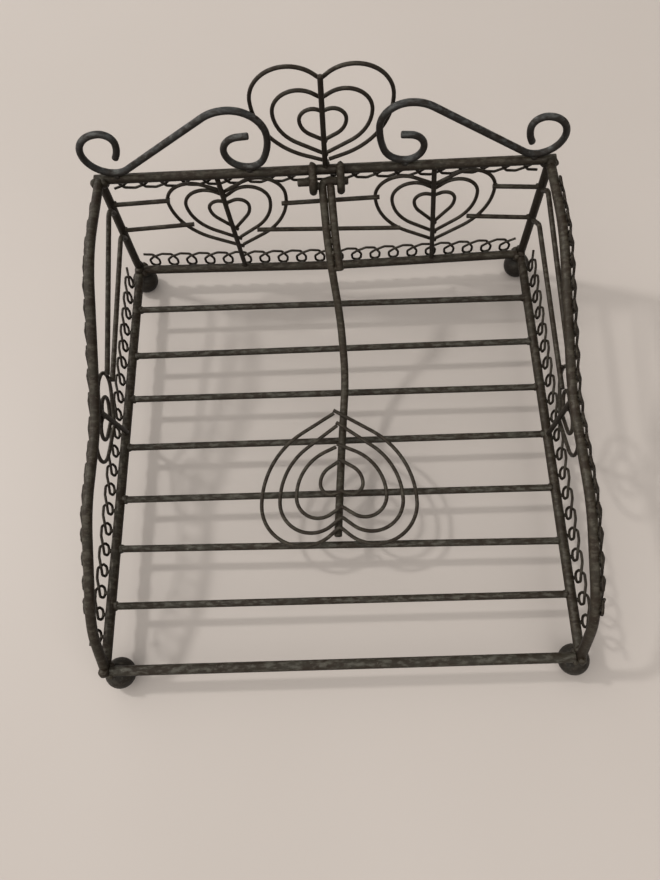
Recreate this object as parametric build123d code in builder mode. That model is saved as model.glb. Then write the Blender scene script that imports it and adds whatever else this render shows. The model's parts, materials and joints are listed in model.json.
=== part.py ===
"""Flat wire napkin holder: a barred tray with scrolled sides and back, and a hinged heart-shaped weight."""
from build123d import *
from math import acos, atan2, cos, degrees, hypot, pi, radians, sin, tan
import os

os.makedirs("parts", exist_ok=True)

# Wire gauges (diameters, mm)
RAIL = 4.2
POST = 3.8
SIDE_RAIL = 4.0
BAR = 3.0
STEM = 2.2
TIE = 2.0
HEART = 1.6
SCROLL = 2.9
ARM = 3.4
LUG = 3.4
TRIM = 1.15

# Overall layout: X is across, +Y is the back, Z is up and the feet stand on z = 0
HALF_WIDTH = 95.0
HALF_DEPTH = 97.0
BASE_Z = 14.5
TOP_Z = 79.0
WELD_GAP = 0.03
RAIL_TOP = BASE_Z + RAIL / 2 + WELD_GAP
RAIL_TOP_EDGE = TOP_Z + RAIL / 2 + WELD_GAP
INNER_X = HALF_WIDTH - RAIL / 2 - WELD_GAP

# Ball feet, each with a small ground sole
SOLE_CUT = 0.25
FOOT_RADIUS = (BASE_Z - RAIL / 2 - WELD_GAP + SOLE_CUT) / 2
FEET = {"front_left": (-91.2, -96.8), "front_right": (94.5, -96.8),
        "back_left": (-94.5, 96.8), "back_right": (94.5, 96.8)}

# Seven hand-set cross bars, front to back: y of the left end, y of the right end
CROSS_BARS = [(-71.0, -71.9), (-46.6, -49.4), (-24.4, -25.7), (0.4, -0.4), (24.7, 23.1), (47.6, 47.2), (73.3, 71.4)]
BACK_RAIL_SAG = (3.0, 1.6, 0.5)
BACK_RAIL_BEND = 200

# Side rails in profile (y, z), and the radius of each bend; the front end is cut level on the base rail
LEFT_PROFILE = [(-96.8, BASE_Z), (-84, 36.5), (-42, 54.4), (-6, 53.4), (56, 82.0), (94.8, 79.6)]
RIGHT_PROFILE = [(-97.3, BASE_Z), (-86, 44.0), (-48, 58.8), (-2, 57.2), (60, 80.4), (94.8, 78.4)]
PROFILE_BENDS = (28, 50, 50, 55)

# Looped trim wire: a coil flattened against the outer side of a rail, each loop crossing itself once.
# Each trim has its distance out from the rail's centre, the height of its own centre over the rail's,
# how far it leans out for each mm of height, and the bare lengths left at its two ends.
TRIM_PITCH = 9.2
TRIM_LOOP = 4.6
TRIM_TWIST = 0.68
TRIM_STEPS = 8
TRIM_BEND = 2.0
TOP_TRIM = {"standoff": 3.3, "rise": -5.4, "lean": -0.1, "bare": (3, 3)}
BACK_TRIM = {"standoff": 2.8, "rise": 4.3, "lean": 0.0, "bare": (1.5, 1.5)}
BASE_TRIM = {"standoff": 3.3, "rise": 4.7, "lean": 0.12, "bare": (9, 5)}
RAIL_TRIMS = {"left": {"standoff": 3.05, "rise": -5.8, "lean": 0.0, "bare": (28, 6)},
              "right": {"standoff": 4.0, "rise": -2.8, "lean": 0.0, "bare": (28, 6)}}

# Planes of the back panel and of the side hearts
STEM_Y = 96.2
BACK_HEART_Y = STEM_Y + STEM / 2 + HEART / 2 + WELD_GAP
TIE_Y = BACK_HEART_Y - HEART / 2 - TIE / 2 - WELD_GAP
CREST_HEART_Y = HALF_DEPTH + SCROLL / 2 + HEART / 2 + WELD_GAP
SIDE_PANEL_X = {"left": 94.0, "right": HALF_WIDTH}
SIDE_HEART_OUT = STEM / 2 + HEART / 2 + WELD_GAP

# Hearts: half width, lobe radius, notch height, tip depth, height of the widest line, flank radius over half width
NOTCH = 1.0
TAIL = 1.4
TALL = 1.15
EVEN = 0.95
SQUAT = 0.47
CREST_HEARTS = {"outer": (27.5, 15.0, 9.3, 32.5, 0.0, TALL), "middle": (19.5, 10.4, 6.6, 22.4, -6.2, EVEN),
                "inner": (9.3, 5.4, 4.2, 10.7, -10.4, EVEN)}
LEFT_BACK_HEARTS = {"outer": (26.3, 11.6, 5.0, 33.0, 0.0, TALL), "middle": (18.9, 9.4, 4.9, 24.6, -2.6, TALL),
                    "inner": (9.0, 4.7, 3.4, 14.4, -5.5, TALL)}
RIGHT_BACK_HEARTS = {"outer": (26.3, 11.6, 5.0, 33.5, 0.0, TALL), "middle": (18.9, 9.4, 4.9, 24.8, -2.6, TALL),
                     "inner": (9.0, 4.7, 3.4, 14.8, -5.5, TALL)}
SIDE_HEARTS = {"outer": (19.0, 8.6, 4.0, 14.5, 0.0, SQUAT), "inner": (9.2, 4.8, 3.2, 7.2, -1.8, SQUAT)}
WEIGHT_HEARTS = {"outer": (33.0, 17.6, 10.2, 41.6, 0.0, TALL), "second": (26.2, 13.4, 7.2, 34.6, -1.2, TALL),
                 "third": (19.2, 9.2, 4.6, 22.9, -3.2, TALL), "inner": (9.1, 4.6, 3.4, 10.5, -8.8, EVEN)}
WEIGHT_HEART_X = {"outer": 1.35, "second": 2.35, "third": 2.45, "inner": 2.7}
WEIGHT_HEART_Y = -32.0
WEIGHT_TILT = 4.9

# Crest: heart centre line, its stem, and the two scrolls lying along the top rail
CREST_X = 0.8
CREST_HEART_Z = 114.2
CREST_STEM_TOP = 126.7
SCROLL_Z = TOP_Z + RAIL / 2 + SCROLL / 2 + WELD_GAP
SCROLLS = {"left": {"foot": 87.0, "slope": 35.1, "run": 43.8,
                    "outer": [(9.0, 35.1), (11.2, 90), (10.0, 90), (5.4, 90), (14.2, 34)],
                    "inner": [(17.4, 35.1), (14.2, 90), (27.2, 25.2), (7.3, 64.8), (9.2, 90), (7.2, 85)], "tip": 4.6},
           "right": {"foot": 87.9, "slope": 33.2, "run": 47.0,
                     "outer": [(9.0, 33.2), (10.2, 90), (9.4, 90), (5.4, 90), (15.0, 32)],
                     "inner": [(16.0, 33.2), (11.8, 90), (35.0, 19.0), (9.8, 71.0), (7.2, 90), (6.3, 85)], "tip": 4.0}}

# Back panel: leaning stems (x at the foot, x at the top), heart centres, and ties between posts and hearts
BACK_STEM_FOOT_Z = 16.5
BACK_STEM_TOP_Z = 76.8
BACK_STEMS = {"left": (-41.9, -45.3), "right": (50.7, 46.7)}
BACK_HEART_CENTRES = {"left": (-43.7, 62.2), "right": (48.4, 61.0)}
TIE_END = HALF_WIDTH - POST / 2 - WELD_GAP
UPPER_TIES = [((-TIE_END, 63.7), (-68.5, 64.9)), ((-19.5, 59.9), (24.0, 61.3)), ((73.2, 64.9), (TIE_END, 63.2))]
LOWER_TIES = [((-TIE_END, 46.3), (-61.0, 48.5)), ((-32.5, 42.7), (34.0, 39.6)), ((64.3, 45.9), (TIE_END, 43.0))]

# Side panels in profile (y, z): the leaning stem's foot and head, the heart's centre, and the two long wires
SIDE_STEM_FOOT = RAIL_TOP + 0.15
SIDE_STEMS = {"left": ((7.1, SIDE_STEM_FOOT), (0.2, 53.9)), "right": ((-1.1, SIDE_STEM_FOOT), (-3.5, 55.8))}
SIDE_HEART_CENTRES = {"left": (2.7, 42.8), "right": (-2.7, 43.9)}
SIDE_WIRE_BEND = 4.5
SIDE_WIRES = {"left": [[(19.3, 49.3), (90.4, 67.8), (93.95, 61.0)], [(20.0, 42.3), (90.4, 49.9), (93.95, 43.5)]],
              "right": [[(17.5, 61.0), (88.5, 69.6), (93.95, 63.5)], [(6.4, 45.7), (86.0, 50.6), (93.95, 43.5)]]}

# Hinge: an axle bent at the top of the arm turns in two lugs wrapped round the top rail
HINGE_Y = 92.5
HINGE_Z = 76.8
LUG_X = {"left": -4.6, "right": 7.1}
LUG_BEND = 3.85
LUG_UPPER_LEG = 5.6
LUG_LOWER_LEG = 3.4
PIVOT_LEFT = -11.2
STUB_END = -2.65
PIVOT_RIGHT = 10.3

# Weight arm: its route from the axle down to the cross bars, and the short brace beside it
REST_GAP = 0.15
REST_Z = BASE_Z + BAR / 2 + ARM / 2 + REST_GAP
ARM_ROUTE = [(PIVOT_RIGHT, HINGE_Y, HINGE_Z), (-0.9, HINGE_Y, HINGE_Z), (0.6, 69.0, 63.8), (4.8, 46.5, 40.6),
             (6.0, 26.0, 26.0), (2.8, -10.0, REST_Z), (0.4, -45.3, REST_Z)]
ARM_BENDS = (2.2, 60, 90, 45, 60)
BRACE_OFFSET = 3.5
BRACE_START = 1.85
BRACE_FOOT = 10.5
END_ROUND = 0.6


def save(piece, name):
    """Label a finished piece and write its STEP file."""
    piece.part.label = name
    export_step(piece.part, f"parts/{name}.step")


def straight_wire(name, *runs, diameter):
    """One or more straight lengths of round wire, each given by its two ends."""
    with BuildPart() as wire:
        for start, end in runs:
            with BuildLine() as run:
                Line(start, end)
            with BuildSketch(Plane(origin=start, z_dir=run.line % 0)):
                Circle(diameter / 2)
            sweep(path=run.line)
    save(wire, name)


def bent_wire(name, *routes, bends, diameter, soften=0.0):
    """Round wires along straight runs joined by tangent bends, the cut ends softened where they show."""
    with BuildPart() as wire:
        for points in routes:
            with BuildLine() as run:
                FilletPolyline(*points, radius=bends)
            with BuildSketch(Plane(origin=run.line @ 0, z_dir=run.line % 0)):
                Circle(diameter / 2)
            sweep(path=run.line)
        if soften:
            fillet(wire.faces().filter_by(GeomType.PLANE).edges(), radius=soften)
    save(wire, name)


def touch_angle(centre, target, reach, side):
    """Angle on a circle at which its tangent leaves for the target."""
    dx = target[0] - centre[0]
    dy = target[1] - centre[1]
    return degrees(atan2(dy, dx) + side * acos(reach / hypot(dx, dy)))


def heart(name, plane, half_width, lobe, notch, tip, rise, flank_ratio):
    """A heart bent from one wire: the left end runs on past the tip and the right end stops against it."""
    flank = flank_ratio * half_width
    flank_x = half_width - flank
    lobe_x = half_width - lobe
    flank_turn = -touch_angle((flank_x, rise), (0, rise - tip), flank, 1)
    lobe_turn = touch_angle((lobe_x, rise), (0, rise + notch + NOTCH), lobe + NOTCH, -1)
    slant = radians(flank_turn)
    stop_short = HEART / 2 * max(1 / tan(slant), tan(slant)) + WELD_GAP
    with BuildPart() as bent:
        with BuildLine(plane) as bend:
            right_flank = CenterArc((flank_x, rise), flank, -flank_turn, flank_turn)
            right_lobe = CenterArc((lobe_x, rise), lobe, 0, lobe_turn)
            dip = CenterArc((0, rise + notch + NOTCH), NOTCH, lobe_turn - 180, 180 - 2 * lobe_turn)
            left_lobe = CenterArc((-lobe_x, rise), lobe, 180, -lobe_turn)
            left_flank = CenterArc((-flank_x, rise), flank, 180, flank_turn)
            Line(right_lobe @ 1, dip @ 0)
            Line(left_lobe @ 1, dip @ 1)
            Line((TAIL * sin(slant), rise - tip - TAIL * cos(slant)), left_flank @ 1)
            Line((stop_short * sin(slant), rise - tip + stop_short * cos(slant)), right_flank @ 0)
        route = bend.wires()[0]
        with BuildSketch(Plane(origin=route @ 0, z_dir=route % 0)):
            Circle(HEART / 2)
        sweep(path=route)
    save(bent, name)


def heart_set(prefix, plane, shapes):
    """Concentric hearts, one node each, all in one plane."""
    for size, shape in shapes.items():
        heart(f"{prefix}_{size}_heart", plane, *shape)


def scroll(name, side, foot, slope, run, outer, inner, tip):
    """A long S of wire on the top rail: hooked at the corner, straight up the slope, curled at the middle."""
    first_bend, first_turn = outer[0]
    turn = radians(first_turn)
    start_x = -foot + first_bend * sin(turn)
    start_z = SCROLL_Z + first_bend * (1 - cos(turn))
    rise = radians(slope)
    with BuildPart() as curl:
        with BuildLine(Plane(origin=(0, HALF_DEPTH, 0), x_dir=(-side, 0, 0), z_dir=(0, side, 0))) as bend:
            straight = Line((start_x, start_z), (start_x + run * cos(rise), start_z + run * sin(rise)))
            place, heading = straight @ 0, (straight % 0) * -1
            for radius, turn in outer:
                arc = JernArc(place, heading, radius, -turn)
                place, heading = arc @ 1, arc % 1
            place, heading = straight @ 1, straight % 1
            for radius, turn in inner:
                arc = JernArc(place, heading, radius, -turn)
                place, heading = arc @ 1, arc % 1
            Line(place, place + heading * tip)
        route = bend.wires()[0]
        with BuildSketch(Plane(origin=route @ 0, z_dir=route % 0)):
            Circle(SCROLL / 2)
        sweep(path=route)
        fillet(curl.faces().filter_by(GeomType.PLANE).edges(), radius=END_ROUND)
    save(curl, name)


def looped_trim(name, rail, outward, arcs, standoff, rise, lean, bare):
    """A wire coil flattened against a rail's outer side; its long arcs are above (arcs 1) or below (arcs -1)."""
    first, last = bare[0], rail.length - bare[1]
    loops = round((last - first) / TRIM_PITCH)
    pitch = (last - first) / loops
    points = []
    for step in range(loops * TRIM_STEPS + 1):
        turn = 2 * pi * step / TRIM_STEPS
        along = first + pitch * step / TRIM_STEPS
        centre = rail.position_at(along, PositionMode.LENGTH)
        forward = rail.tangent_at(along, PositionMode.LENGTH)
        upward = outward.cross(forward)
        upward *= 1 if upward.Z > 0 else -1
        height = arcs * TRIM_LOOP * cos(turn)
        depth = standoff + lean * height + 2 * TRIM_TWIST * sin(turn) * max(cos(turn), 0)
        points.append(centre + upward * (rise + height) + forward * TRIM_LOOP * sin(turn) + outward * depth)
    with BuildPart() as trim:
        with BuildLine() as coil:
            FilletPolyline(*points, radius=TRIM_BEND)
        with BuildSketch(Plane(origin=coil.line @ 0, z_dir=coil.line % 0)):
            Circle(TRIM / 2)
        sweep(path=coil.line)
    save(trim, name)


# Tray: rails, cross bars and feet
straight_wire("front_rail", ((-INNER_X, -HALF_DEPTH, BASE_Z), (INNER_X, -HALF_DEPTH, BASE_Z)), diameter=RAIL)
sag_x, sag_y, sag_z = BACK_RAIL_SAG
back_rail_end = INNER_X - WELD_GAP
back_rail_route = [(-back_rail_end, HALF_DEPTH, BASE_Z), (sag_x, HALF_DEPTH - sag_y, BASE_Z - sag_z),
                   (back_rail_end, HALF_DEPTH, BASE_Z)]
bent_wire("back_bottom_rail", back_rail_route, bends=BACK_RAIL_BEND, diameter=RAIL)
base_rail_end = HALF_DEPTH + RAIL / 2
for side, sign in (("left", -1), ("right", 1)):
    straight_wire(f"{side}_base_rail", ((sign * HALF_WIDTH, -base_rail_end, BASE_Z),
                                        (sign * HALF_WIDTH, base_rail_end, BASE_Z)), diameter=RAIL)
for number, (left_y, right_y) in enumerate(CROSS_BARS, start=1):
    straight_wire(f"cross_bar_{number}", ((-INNER_X, left_y, BASE_Z), (INNER_X, right_y, BASE_Z)), diameter=BAR)
for corner, (foot_x, foot_y) in FEET.items():
    with BuildPart() as foot:
        with Locations((foot_x, foot_y, FOOT_RADIUS - SOLE_CUT)):
            Sphere(FOOT_RADIUS)
        split(bisect_by=Plane.XY, keep=Keep.TOP)
    save(foot, f"{corner}_foot")

# Sides: curved side rails and back posts
profiles = {"left": LEFT_PROFILE, "right": RIGHT_PROFILE}
side_rail_lines = {}
for side, sign in (("left", -1), ("right", 1)):
    side_x = sign * HALF_WIDTH
    with BuildPart() as side_rail:
        with BuildLine() as side_run:
            FilletPolyline(*[(side_x, y, z) for y, z in profiles[side]], radius=PROFILE_BENDS)
        with BuildSketch(Plane(origin=side_run.line @ 0, z_dir=side_run.line % 0)):
            Circle(SIDE_RAIL / 2)
        sweep(path=side_run.line)
        split(bisect_by=Plane.XY.offset(RAIL_TOP), keep=Keep.TOP)
    save(side_rail, f"{side}_side_rail")
    side_rail_lines[side] = side_run.wires()[0]
    straight_wire(f"{side}_back_post", ((side_x, HALF_DEPTH, RAIL_TOP),
                                        (side_x, HALF_DEPTH, TOP_Z - RAIL / 2 - WELD_GAP)), diameter=POST)
top_end = HALF_WIDTH + RAIL / 2
straight_wire("back_top_rail", ((-top_end, HALF_DEPTH, TOP_Z), (top_end, HALF_DEPTH, TOP_Z)), diameter=RAIL)

# Side panels: a stem, two hearts and two long wires on each side
for side, sign in (("left", -1), ("right", 1)):
    side_x = sign * SIDE_PANEL_X[side]
    (foot_y, foot_z), (head_y, head_z) = SIDE_STEMS[side]
    straight_wire(f"{side}_side_stem", ((side_x, foot_y, foot_z), (side_x, head_y, head_z)), diameter=STEM)
    lean = atan2(foot_y - head_y, head_z - foot_z)
    heart_y, heart_z = SIDE_HEART_CENTRES[side]
    heart_set(f"{side}_side", Plane(origin=(side_x + sign * SIDE_HEART_OUT, heart_y, heart_z),
                                    x_dir=(0, cos(lean), sin(lean)), z_dir=(1, 0, 0)), SIDE_HEARTS)
    bent_wire(f"{side}_side_wires", *[[(side_x, y, z) for y, z in route] for route in SIDE_WIRES[side]],
              bends=SIDE_WIRE_BEND, diameter=STEM)

# Back panel: leaning stems, three hearts behind each, and the ties in front of them
back_sets = {"left": LEFT_BACK_HEARTS, "right": RIGHT_BACK_HEARTS}
for side, (foot_x, head_x) in BACK_STEMS.items():
    foot = (foot_x, STEM_Y, BACK_STEM_FOOT_Z)
    head = (head_x, STEM_Y, BACK_STEM_TOP_Z)
    straight_wire(f"{side}_back_stem", (foot, head), diameter=STEM)
    lean = atan2(foot_x - head_x, BACK_STEM_TOP_Z - BACK_STEM_FOOT_Z)
    heart_x, heart_z = BACK_HEART_CENTRES[side]
    heart_set(f"{side}_back", Plane(origin=(heart_x, BACK_HEART_Y, heart_z), x_dir=(cos(lean), 0, sin(lean)),
                                    z_dir=(0, -1, 0)), back_sets[side])
for name, ties in (("upper_back_ties", UPPER_TIES), ("lower_back_ties", LOWER_TIES)):
    straight_wire(name, *[((x1, TIE_Y, z1), (x2, TIE_Y, z2)) for (x1, z1), (x2, z2) in ties], diameter=TIE)

# Crest: hearts behind a stem, and a scroll each side
heart_set("crest", Plane(origin=(CREST_X, CREST_HEART_Y, CREST_HEART_Z), x_dir=(1, 0, 0), z_dir=(0, -1, 0)),
          CREST_HEARTS)
with BuildPart() as crest_stem:
    with BuildSketch(Plane.XY.offset(RAIL_TOP_EDGE)):
        with Locations((CREST_X, HALF_DEPTH)):
            Circle(STEM / 2)
    extrude(amount=CREST_STEM_TOP - RAIL_TOP_EDGE)
    fillet(crest_stem.faces().sort_by(Axis.Z)[-1].edges(), radius=END_ROUND)
save(crest_stem, "crest_stem")
for side, sign in (("left", -1), ("right", 1)):
    scroll(f"{side}_scroll", sign, **SCROLLS[side])

# Looped trims on the outer side of the rails: long arcs below where they hang, above where they stand
top_line = Edge.make_line((-HALF_WIDTH, HALF_DEPTH, TOP_Z), (HALF_WIDTH, HALF_DEPTH, TOP_Z))
looped_trim("back_top_trim", top_line, Vector(0, 1, 0), -1, **TOP_TRIM)
back_line = FilletPolyline(*back_rail_route, radius=BACK_RAIL_BEND)
looped_trim("back_bottom_trim", back_line, Vector(0, 1, 0), 1, **BACK_TRIM)
for side, sign in (("left", -1), ("right", 1)):
    base_line = Edge.make_line((sign * HALF_WIDTH, -HALF_DEPTH, BASE_Z), (sign * HALF_WIDTH, HALF_DEPTH, BASE_Z))
    looped_trim(f"{side}_base_trim", base_line, Vector(sign, 0, 0), 1, **BASE_TRIM)
    looped_trim(f"{side}_rail_trim", side_rail_lines[side], Vector(sign, 0, 0), -1, **RAIL_TRIMS[side])

# Hinge lugs: a U of wire each, its bend round the axle and its legs either side of the top rail
hinge_reach = Vector(0, HALF_DEPTH - HINGE_Y, TOP_Z - HINGE_Z).normalized()
for side, lug_x in LUG_X.items():
    with BuildPart() as lug:
        with BuildLine(Plane(origin=(lug_x, HINGE_Y, HINGE_Z), x_dir=hinge_reach, z_dir=(1, 0, 0))) as u_bend:
            Line((LUG_UPPER_LEG, LUG_BEND), (0, LUG_BEND))
            CenterArc((0, 0), LUG_BEND, 90, 180)
            Line((0, -LUG_BEND), (LUG_LOWER_LEG, -LUG_BEND))
        lug_route = u_bend.wires()[0]
        with BuildSketch(Plane(origin=lug_route @ 0, z_dir=lug_route % 0)):
            Circle(LUG / 2)
        sweep(path=lug_route)
    save(lug, f"{side}_hinge_lug")

# Weight arm: the main wire with its axle, the stub on the other side, the brace, and the heart weight
bent_wire("arm_wire", ARM_ROUTE, bends=ARM_BENDS, diameter=ARM, soften=END_ROUND)
with BuildPart() as pivot_stub:
    with BuildSketch(Plane.YZ.offset(PIVOT_LEFT)):
        with Locations((HINGE_Y, HINGE_Z)):
            Circle(ARM / 2)
    extrude(amount=STUB_END - PIVOT_LEFT)
    fillet(pivot_stub.faces().sort_by(Axis.X)[0].edges(), radius=END_ROUND)
save(pivot_stub, "pivot_stub")
bend_top, bend_knee, bend_below = [Vector(*point) + Vector(BRACE_OFFSET, 0, 0) for point in ARM_ROUTE[1:4]]
brace_top = bend_top + (bend_knee - bend_top).normalized() * BRACE_START
brace_foot = bend_knee + (bend_below - bend_knee).normalized() * BRACE_FOOT
bent_wire("arm_brace", [brace_top, bend_knee, brace_foot], bends=ARM_BENDS[1], diameter=ARM, soften=END_ROUND)
tilt = radians(WEIGHT_TILT)
arm_end_y = ARM_ROUTE[-1][1]
weight_z = REST_Z + ARM / 2 + HEART / 2 + WELD_GAP + (WEIGHT_HEART_Y - arm_end_y) * tan(tilt)
for size, shape in WEIGHT_HEARTS.items():
    heart(f"weight_{size}_heart", Plane(origin=(WEIGHT_HEART_X[size], WEIGHT_HEART_Y, weight_z),
                                        x_dir=(-1, 0, 0), z_dir=(0, -sin(tilt), cos(tilt))), *shape)
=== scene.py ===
"""Flat wire napkin holder with a hinged heart weight: its looks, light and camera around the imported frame."""
import bpy, bmesh, json
from math import cos, radians, sin
from mathutils import Matrix, Vector, noise
from mathutils.bvhtree import BVHTree


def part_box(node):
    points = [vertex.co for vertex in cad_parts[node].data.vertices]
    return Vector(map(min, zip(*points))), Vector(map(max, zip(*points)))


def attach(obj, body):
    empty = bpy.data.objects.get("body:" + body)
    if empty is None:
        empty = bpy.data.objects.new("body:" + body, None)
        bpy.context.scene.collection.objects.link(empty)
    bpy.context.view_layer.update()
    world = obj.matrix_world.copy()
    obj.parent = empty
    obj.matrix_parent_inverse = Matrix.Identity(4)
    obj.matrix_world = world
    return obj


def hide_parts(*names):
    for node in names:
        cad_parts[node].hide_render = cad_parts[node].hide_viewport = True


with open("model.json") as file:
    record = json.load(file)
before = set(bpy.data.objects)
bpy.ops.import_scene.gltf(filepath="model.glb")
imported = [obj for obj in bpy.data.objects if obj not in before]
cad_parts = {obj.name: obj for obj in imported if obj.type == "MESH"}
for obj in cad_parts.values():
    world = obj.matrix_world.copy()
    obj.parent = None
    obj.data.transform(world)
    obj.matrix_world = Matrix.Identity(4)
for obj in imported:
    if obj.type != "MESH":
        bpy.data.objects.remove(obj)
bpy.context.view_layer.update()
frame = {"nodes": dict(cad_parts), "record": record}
nodes = frame["nodes"]
slots = {entry["node"]: entry["material_slot"] for entry in frame["record"]["subparts"]}
MM = 0.001


# ---------------------------------------------------------------- materials
def link(tree, source, target):
    """Joins one node socket to another."""
    tree.links.new(source, target)


def noise_node(tree, coords, scale, detail, roughness=0.55, distortion=0.0):
    """A noise texture in the object's own metres: scale 1000 gives features about 1 mm wide."""
    node = tree.nodes.new("ShaderNodeTexNoise")
    node.inputs["Scale"].default_value = scale
    node.inputs["Detail"].default_value = detail
    node.inputs["Roughness"].default_value = roughness
    node.inputs["Distortion"].default_value = distortion
    link(tree, coords, node.inputs["Vector"])
    return node.outputs["Fac"]


def remap(tree, value, low, high, to_low=0.0, to_high=1.0):
    """Stretches a value's range low..high to to_low..to_high, smoothly and clamped."""
    node = tree.nodes.new("ShaderNodeMapRange")
    node.interpolation_type = "SMOOTHSTEP"
    for name, number in zip(("From Min", "From Max", "To Min", "To Max"), (low, high, to_low, to_high)):
        node.inputs[name].default_value = number
    link(tree, value, node.inputs["Value"])
    return node.outputs["Result"]


def combine(tree, operation, first, second):
    """A math node on two values, either of which may be a number."""
    node = tree.nodes.new("ShaderNodeMath")
    node.operation = operation
    for index, value in enumerate((first, second)):
        if isinstance(value, (int, float)):
            node.inputs[index].default_value = value
        else:
            link(tree, value, node.inputs[index])
    return node.outputs[0]


def blend_colour(tree, share, under, over):
    """Lays one colour over another by a share; each colour is a tuple or a socket."""
    node = tree.nodes.new("ShaderNodeMix")
    node.data_type = "RGBA"
    link(tree, share, node.inputs["Factor"])
    for socket, colour in ((node.inputs[6], under), (node.inputs[7], over)):
        if isinstance(colour, tuple):
            socket.default_value = (*colour, 1.0)
        else:
            link(tree, colour, socket)
    return node.outputs[2]


# Texture scales in features per metre, about; streaks are longer across the holder than along or up it
PATCH_SCALE = 170
MOTTLE_SCALE = 700
GRAIN_SCALE = 2400
STREAK_SCALE = (260, 620, 620)
PIT_SCALE = 900
# How bright the painted shade on the undersides is, as a share of the brown
UNDERSIDE_SHADE = 0.35


def aged_paint(name, brown, green, rub_and_highlight_colour, rub_and_highlight_share=0.5, fleck=0.35, rough=(0.38, 0.58), metal=0.1):
    """Dark antiqued paint on wire: patches, painted shade on the undersides, pale rubbing with a painted
    highlight on top, flecks, pits and grain.
    """
    material = bpy.data.materials.new(name)
    material.use_nodes = True
    tree = material.node_tree
    shader = tree.nodes["Principled BSDF"]
    coords = tree.nodes.new("ShaderNodeTexCoord").outputs["Object"]
    patches = noise_node(tree, coords, PATCH_SCALE, 4, 0.6, 0.4)
    mottle = noise_node(tree, coords, MOTTLE_SCALE, 5, 0.65)
    grain = noise_node(tree, coords, GRAIN_SCALE, 3, 0.6)
    streak_map = tree.nodes.new("ShaderNodeMapping")
    streak_map.inputs["Scale"].default_value = STREAK_SCALE
    link(tree, coords, streak_map.inputs["Vector"])
    streaks = noise_node(tree, streak_map.outputs["Vector"], 1.0, 4, 0.6)
    pits = tree.nodes.new("ShaderNodeTexVoronoi")
    pits.inputs["Scale"].default_value = PIT_SCALE
    link(tree, coords, pits.inputs["Vector"])

    normal = tree.nodes.new("ShaderNodeNewGeometry").outputs["Normal"]
    axes = tree.nodes.new("ShaderNodeSeparateXYZ")
    link(tree, normal, axes.inputs[0])
    upward = remap(tree, axes.outputs["Z"], -0.1, 0.95)

    colour = blend_colour(tree, remap(tree, patches, 0.42, 0.62), brown, green)
    # Painted shade: downward-facing sides get a darker brown, standing in for the shade under the wire
    painted_underside_shade = tuple(part * UNDERSIDE_SHADE for part in brown)
    colour = blend_colour(tree, remap(tree, axes.outputs["Z"], -0.5, 0.75), painted_underside_shade, colour)
    # Rubbed paint with a painted highlight: a paler colour in streaks on upward-facing sides only, where the
    # light falls
    worn_and_highlit = combine(tree, "MULTIPLY", remap(tree, streaks, 0.44, 0.66), upward)
    worn_and_highlit = combine(tree, "MULTIPLY", worn_and_highlit, rub_and_highlight_share)
    colour = blend_colour(tree, worn_and_highlit, colour, rub_and_highlight_colour)
    flecks = combine(tree, "MULTIPLY", remap(tree, mottle, 0.60, 0.70), remap(tree, grain, 0.48, 0.62))
    flecks = combine(tree, "MULTIPLY", flecks, fleck)
    pale = tuple(min(1.0, part * 2.3 + 0.02) for part in rub_and_highlight_colour)
    colour = blend_colour(tree, flecks, colour, pale)
    hollow = remap(tree, pits.outputs["Distance"], 0.05, 0.22, 0.55, 0.0)
    dark = tuple(part * 0.45 for part in brown)
    pitted = combine(tree, "MULTIPLY", hollow, remap(tree, mottle, 0.35, 0.55))
    colour = blend_colour(tree, pitted, colour, dark)
    link(tree, colour, shader.inputs["Base Color"])

    dullness = remap(tree, combine(tree, "ADD", mottle, worn_and_highlit), 0.3, 1.0, rough[1], rough[0])
    link(tree, dullness, shader.inputs["Roughness"])
    shader.inputs["Metallic"].default_value = metal
    shader.inputs["Specular IOR Level"].default_value = 0.24
    coarse = combine(tree, "MULTIPLY", mottle, 0.9)
    height = combine(tree, "ADD", coarse, combine(tree, "MULTIPLY", grain, 0.35))
    height = combine(tree, "SUBTRACT", height, combine(tree, "MULTIPLY", hollow, 0.35))
    bump = tree.nodes.new("ShaderNodeBump")
    bump.inputs["Strength"].default_value = 0.55
    bump.inputs["Distance"].default_value = 0.0004
    link(tree, height, bump.inputs["Height"])
    link(tree, bump.outputs["Normal"], shader.inputs["Normal"])
    return material


BROWN = (0.0185, 0.0115, 0.0058)
GREEN = (0.0255, 0.0205, 0.0130)
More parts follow.
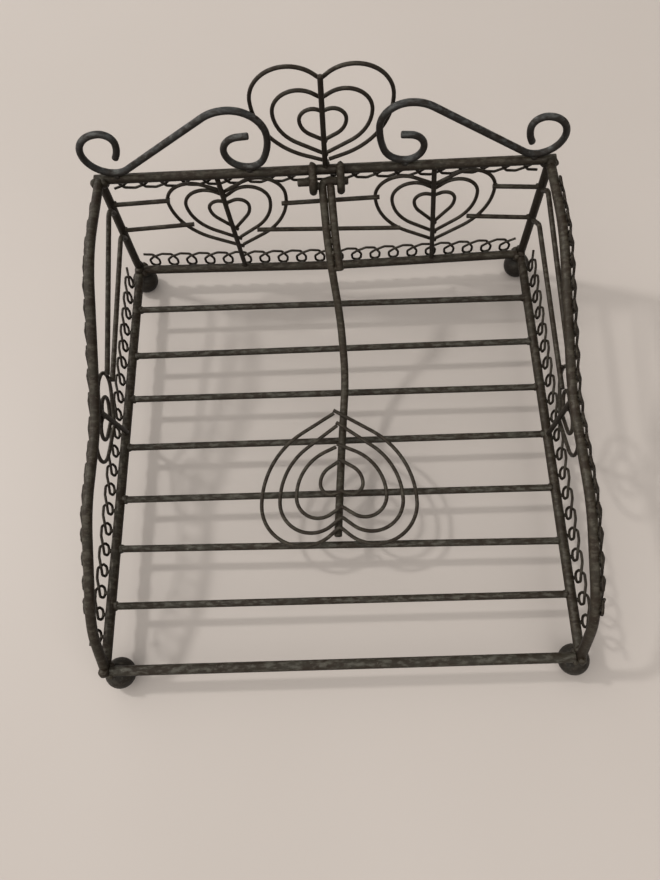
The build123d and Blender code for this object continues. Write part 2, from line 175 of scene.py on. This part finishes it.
# Colours of rubbed paint with a painted highlight, laid on the wires' top sides
RUB_AND_HIGHLIGHT = (0.090, 0.080, 0.058)
BLUE_RUB_AND_HIGHLIGHT = (0.100, 0.102, 0.097)
MATERIALS = {
    "frame_wire": aged_paint("frame_wire", BROWN, GREEN, RUB_AND_HIGHLIGHT, rub_and_highlight_share=0.45),
    "bar_wire": aged_paint("bar_wire", (0.020, 0.0134, 0.0074), (0.0275, 0.0234, 0.0158),
                           (0.102, 0.096, 0.077), rub_and_highlight_share=0.6, fleck=0.5),
    "scroll_wire": aged_paint("scroll_wire", (0.019, 0.0145, 0.011), (0.028, 0.0275, 0.026), BLUE_RUB_AND_HIGHLIGHT,
                              rub_and_highlight_share=0.7),
    "stem_wire": aged_paint("stem_wire", BROWN, GREEN, RUB_AND_HIGHLIGHT, rub_and_highlight_share=0.5),
    "heart_wire": aged_paint("heart_wire", (0.0175, 0.011, 0.0058), (0.0235, 0.0187, 0.0120), RUB_AND_HIGHLIGHT,
                             rub_and_highlight_share=0.4),
    "trim_wire": aged_paint("trim_wire", (0.0155, 0.0099, 0.0053), (0.0215, 0.0170, 0.0110), RUB_AND_HIGHLIGHT,
                            rub_and_highlight_share=0.3, rough=(0.46, 0.66)),
    "arm_wire": aged_paint("arm_wire", (0.022, 0.0143, 0.0075), (0.0295, 0.0240, 0.0152), RUB_AND_HIGHLIGHT,
                           rub_and_highlight_share=0.5),
    "ball_foot": aged_paint("ball_foot", (0.014, 0.0098, 0.006), (0.018, 0.0155, 0.0115), RUB_AND_HIGHLIGHT,
                            rub_and_highlight_share=0.25),
}


def paint(piece, slot_name):
    """Gives a piece the finish of a slot, with smooth shading."""
    piece.data.materials.clear()
    piece.data.materials.append(MATERIALS[slot_name])
    for face in piece.data.polygons:
        face.use_smooth = True
        face.material_index = 0


for node_name, node in nodes.items():
    paint(node, slots[node_name])


# ---------------------------------------------------------------- the side rails' trims
shapes = dict(nodes)
SIDE_RAIL_RADIUS = 2.0 * MM
NEARLY_LEVEL = 0.1 * MM
# For each side: which way is out, the height of the CAD coil's centre over its rail's, then the shift out,
# the shift up, and the lean out for each mm of height
HUNG_TRIMS = {"left": (-1, -5.8 * MM, 0.9 * MM, 0.0, -0.3),
              "right": (1, -2.8 * MM, -0.75 * MM, 1.2 * MM, -0.32)}


def search_tree(mesh):
    """A search tree over a mesh's faces."""
    points = [vertex.co for vertex in mesh.vertices]
    return BVHTree.FromPolygons(points, [face.vertices for face in mesh.polygons])


def hang_trim(side, sign, rise, shift_out, shift_up, lean):
    """Stands for a side rail's trim: the same coil hung along the rail, its lower edge kicked out."""
    node = nodes[f"{side}_rail_trim"]
    tree = search_tree(nodes[f"{side}_side_rail"].data)
    data = node.data.copy()
    out = Vector((sign, 0, 0))
    for vertex in data.vertices:
        near, normal = tree.find_nearest(vertex.co)[:2]
        radial = vertex.co - (near - normal * SIDE_RAIL_RADIUS)
        upright = Vector((0, radial.y, radial.z))
        reach = upright.length if radial.z > 0 else -upright.length
        upward = upright / reach if abs(reach) > NEARLY_LEVEL else Vector((0, 0, 1))
        vertex.co = vertex.co + out * (shift_out + lean * (reach - rise)) + upward * shift_up
    piece = bpy.data.objects.new(f"{side}_hung_trim", data)
    bpy.context.scene.collection.objects.link(piece)
    paint(piece, "trim_wire")
    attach(piece, "rack")
    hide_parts(f"{side}_rail_trim")
    shapes[f"{side}_rail_trim"] = piece


for trim_side, settings in HUNG_TRIMS.items():
    hang_trim(trim_side, *settings)


# ---------------------------------------------------------------- weld beads where wires meet
# How near two wires have to be to count as meeting, and how near two meetings have to be to share a bead
TOUCH = 0.3 * MM
CLUSTER = 3.2 * MM
TRIM_REACH = {"back_top": 0.5 * MM, "back_bottom": 0.3 * MM, "left_base": 0.3 * MM, "right_base": 0.3 * MM,
              "left_rail": 0.7 * MM, "right_rail": 1.1 * MM}


def meeting_places(name, other, tree, reach):
    """Centres of the places where a node's vertices come within reach of another node's surface."""
    low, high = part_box(other)
    margin = Vector((reach, reach, reach))
    low, high = low - margin, high + margin
    found = []
    for vertex in shapes[name].data.vertices:
        point = vertex.co
        if all(low[i] <= point[i] <= high[i] for i in range(3)):
            near = tree.find_nearest(point, reach)[0]
            if near is not None:
                found.append((point + near) / 2)
    places = []
    for point in found:
        for place in places:
            if (point - place[0] / place[1]).length < CLUSTER:
                place[0] += point
                place[1] += 1
                break
        else:
            places.append([point.copy(), 1])
    return [total / count for total, count in places]


# A bead's unevenness, as shares of its radius: stretch by axis, broad swelling and fine roughness
STRETCH = 0.14
SWELLING = 0.22
ROUGHNESS = 0.07


def lump(mesh, centre, size, seed):
    """Adds one uneven bead of weld metal to a mesh under construction."""
    made = bmesh.ops.create_icosphere(mesh, subdivisions=3, radius=1.0)
    shift = Vector((seed * 3.71, seed * 1.37, seed * 2.11))
    waves = ((2.3, 0), (3.1, 1), (1.7, 2))
    stretch = Vector([1.0 + STRETCH * sin(seed * rate + start) for rate, start in waves])
    for vertex in made["verts"]:
        direction = vertex.co.normalized()
        broad = noise.noise(direction * 1.5 + shift)
        swell = 1.0 + SWELLING * broad + ROUGHNESS * noise.noise(direction * 4.5 + shift)
        vertex.co = centre + Vector(direction[i] * stretch[i] * size * swell for i in range(3))


def finish_piece(name, mesh, slot_name, body):
    """Turns a mesh under construction into a painted piece riding on a body."""
    data = bpy.data.meshes.new(name)
    mesh.to_mesh(data)
    mesh.free()
    piece = bpy.data.objects.new(name, data)
    bpy.context.scene.collection.objects.link(piece)
    paint(piece, slot_name)
    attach(piece, body)


# Radius of a plain bead on the wire of each slot, in mm; a bead takes the smaller of its two wires' values
BEAD_RADIUS = {"frame_wire": 2.1, "bar_wire": 1.5, "scroll_wire": 1.6, "stem_wire": 1.1, "heart_wire": 0.8,
               "trim_wire": 0.58, "arm_wire": 1.7, "ball_foot": 2.1}


def weld_group(name, slot_name, body, pairs, scale=1.0, reach=TOUCH):
    """One piece holding a weld bead at every place where the wires of the given pairs meet."""
    mesh = bmesh.new()
    count = 0
    for first, second in pairs:
        first_tree, second_tree = search_tree(shapes[first].data), search_tree(shapes[second].data)
        places = meeting_places(first, second, second_tree, reach)
        for extra in meeting_places(second, first, first_tree, reach):
            if all((extra - place).length > CLUSTER for place in places):
                places.append(extra)
        thin = min(BEAD_RADIUS[slots[first]], BEAD_RADIUS[slots[second]])
        for place in places:
            count += 1
            lump(mesh, place, thin * scale * MM, count + len(name))
    finish_piece(name, mesh, slot_name, body)


def crossing(names, others):
    """Every pair of one node from each list."""
    return [(first, second) for first in names for second in others if first != second]


bars = [f"cross_bar_{number}" for number in range(1, 8)]
base_rails = ["left_base_rail", "right_base_rail"]
posts = ["left_back_post", "right_back_post"]
feet = [f"{end}_{side}_foot" for end in ("front", "back") for side in ("left", "right")]
crest_hearts = [f"crest_{size}_heart" for size in ("outer", "middle", "inner")]
ties = ["upper_back_ties", "lower_back_ties"]
weight_hearts = [f"weight_{size}_heart" for size in ("outer", "second", "third", "inner")]

weld_group("bar_welds", "bar_wire", "rack", crossing(bars, base_rails), 1.22)
side_rail_ends = (crossing(["left_side_rail"], ["left_base_rail", "back_top_rail"])
                  + crossing(["right_side_rail"], ["right_base_rail", "back_top_rail"]))
weld_group("rail_welds", "frame_wire", "rack",
           crossing(["front_rail", "back_bottom_rail"], base_rails)
           + crossing(posts, base_rails + ["back_top_rail"]) + side_rail_ends, 0.95)
weld_group("foot_welds", "ball_foot", "rack",
           crossing(feet, base_rails + ["front_rail", "back_bottom_rail"]), 1.15)
for side in ("left", "right"):
    back_hearts = [f"{side}_back_{size}_heart" for size in ("outer", "middle", "inner")]
    side_hearts = [f"{side}_side_{size}_heart" for size in ("outer", "inner")]
    stem, side_stem, side_wires = f"{side}_back_stem", f"{side}_side_stem", f"{side}_side_wires"
    weld_group(f"{side}_back_welds", "heart_wire", "rack",
               crossing(back_hearts, [stem]) + crossing(ties, back_hearts[:1]), 1.15)
    weld_group(f"{side}_stem_welds", "stem_wire", "rack",
               crossing([stem], ["back_top_rail", "back_bottom_rail"]) + crossing(ties, [f"{side}_back_post"])
               + crossing([side_stem], [f"{side}_base_rail", f"{side}_side_rail"])
               + crossing([side_wires], [f"{side}_back_post"]), 1.12)
    weld_group(f"{side}_side_welds", "heart_wire", "rack",
               crossing(side_hearts, [side_stem, side_wires]), 1.15)
    weld_group(f"{side}_scroll_welds", "scroll_wire", "rack",
               crossing([f"{side}_scroll"], ["back_top_rail"]), 1.05)
    weld_group(f"{side}_lug_welds", "arm_wire", "rack",
               crossing([f"{side}_hinge_lug"], ["back_top_rail"]), 1.1)
weld_group("crest_welds", "heart_wire", "rack",
           crossing(crest_hearts, ["crest_stem", "left_scroll", "right_scroll"]), 1.15)
weld_group("crest_foot_welds", "stem_wire", "rack",
           crossing(["crest_stem"] + crest_hearts[:1], ["back_top_rail"]), 1.15)
weld_group("weight_welds", "heart_wire", "arm", crossing(weight_hearts, ["arm_wire"]), 1.15)
for trim, rail in (("back_top", "back_top_rail"), ("back_bottom", "back_bottom_rail"),
                   ("left_base", "left_base_rail"), ("right_base", "right_base_rail"),
                   ("left_rail", "left_side_rail"), ("right_rail", "right_side_rail")):
    weld_group(f"{trim}_trim_welds", "trim_wire", "rack",
               crossing([f"{trim}_trim"], [rail]), 1.4, TRIM_REACH[trim])
weld_group("arm_welds", "arm_wire", "arm", crossing(["pivot_stub", "arm_brace"], ["arm_wire"]), 0.9)


# ---------------------------------------------------------------- table top, light and camera
def table_top():
    """A plain pale surface with a faint silky sheen."""
    size = 3.0
    data = bpy.data.meshes.new("table_top")
    corners = [(-size, -size, 0), (size, -size, 0), (size, size, 0), (-size, size, 0)]
    data.from_pydata(corners, [], [(0, 1, 2, 3)])
    plane = bpy.data.objects.new("table_top", data)
    bpy.context.scene.collection.objects.link(plane)
    material = bpy.data.materials.new("table_top")
    material.use_nodes = True
    tree = material.node_tree
    shader = tree.nodes["Principled BSDF"]
    coords = tree.nodes.new("ShaderNodeTexCoord").outputs["Object"]
    cloud = remap(tree, noise_node(tree, coords, 6, 2), 0.3, 0.7)
    tint = blend_colour(tree, cloud, (0.495, 0.447, 0.408), (0.508, 0.459, 0.420))
    link(tree, tint, shader.inputs["Base Color"])
    shader.inputs["Roughness"].default_value = 0.45
    shader.inputs["Specular IOR Level"].default_value = 0.25
    data.materials.append(material)


def soft_light(name, place, target, size, power, colour):
    """A square area light aimed at a point."""
    data = bpy.data.lights.new(name, "AREA")
    data.shape = "SQUARE"
    data.size = size
    data.energy = power
    data.color = colour
    lamp = bpy.data.objects.new(name, data)
    lamp.location = place
    lamp.rotation_euler = (Vector(target) - Vector(place)).to_track_quat("-Z", "Y").to_euler()
    bpy.context.scene.collection.objects.link(lamp)


table_top()
TRAY_MIDDLE = (0, 0, 0.03)
soft_light("window", (-0.97, 0.424, 1.35), TRAY_MIDDLE, 0.12, 8.5, (1.0, 0.985, 0.965))
soft_light("room", (0.7, -0.9, 1.5), TRAY_MIDDLE, 1.6, 9.5, (1.0, 0.98, 0.96))

# Light from all around, brighter from the window's side
WINDOW_SIDE, DARK_SIDE = 1.5, 0.12
world = bpy.data.worlds.new("soft_room")
world.use_nodes = True
world_tree = world.node_tree
backdrop = world_tree.nodes["Background"]
backdrop.inputs["Color"].default_value = (0.98, 0.95, 0.92, 1.0)
direction_axes = world_tree.nodes.new("ShaderNodeSeparateXYZ")
link(world_tree, world_tree.nodes.new("ShaderNodeTexCoord").outputs["Generated"], direction_axes.inputs[0])
brightness = remap(world_tree, direction_axes.outputs["X"], -0.9, 0.9, WINDOW_SIDE, DARK_SIDE)
link(world_tree, brightness, backdrop.inputs["Strength"])
bpy.context.scene.world = world
bpy.context.scene.view_settings.view_transform = "Standard"

# The viewpoint: place over the tray's front, then tilt from straight down, heading and roll; lens in mm
CAMERA_PLACE = Vector((0.0062, -0.1328, 0.3293))
TILT, HEADING, ROLL = radians(22.99), radians(3.53), radians(-5.37)
SENSOR = 36.0
FOCAL_LENGTH = 31.09091
view = Vector((-sin(HEADING) * sin(TILT), cos(HEADING) * sin(TILT), -cos(TILT)))
level = Vector((cos(HEADING), sin(HEADING), 0))
upright = level.cross(view)
across = level * cos(ROLL) + upright * sin(ROLL)
upward = upright * cos(ROLL) - level * sin(ROLL)
lens = bpy.data.cameras.new("camera")
lens.sensor_width = SENSOR
lens.lens = FOCAL_LENGTH
lens.clip_start = 0.01
camera = bpy.data.objects.new("camera", lens)
turn = Matrix((across, upward, -view)).transposed()
camera.matrix_world = Matrix.Translation(CAMERA_PLACE) @ turn.to_4x4()
bpy.context.scene.collection.objects.link(camera)
bpy.context.scene.camera = camera
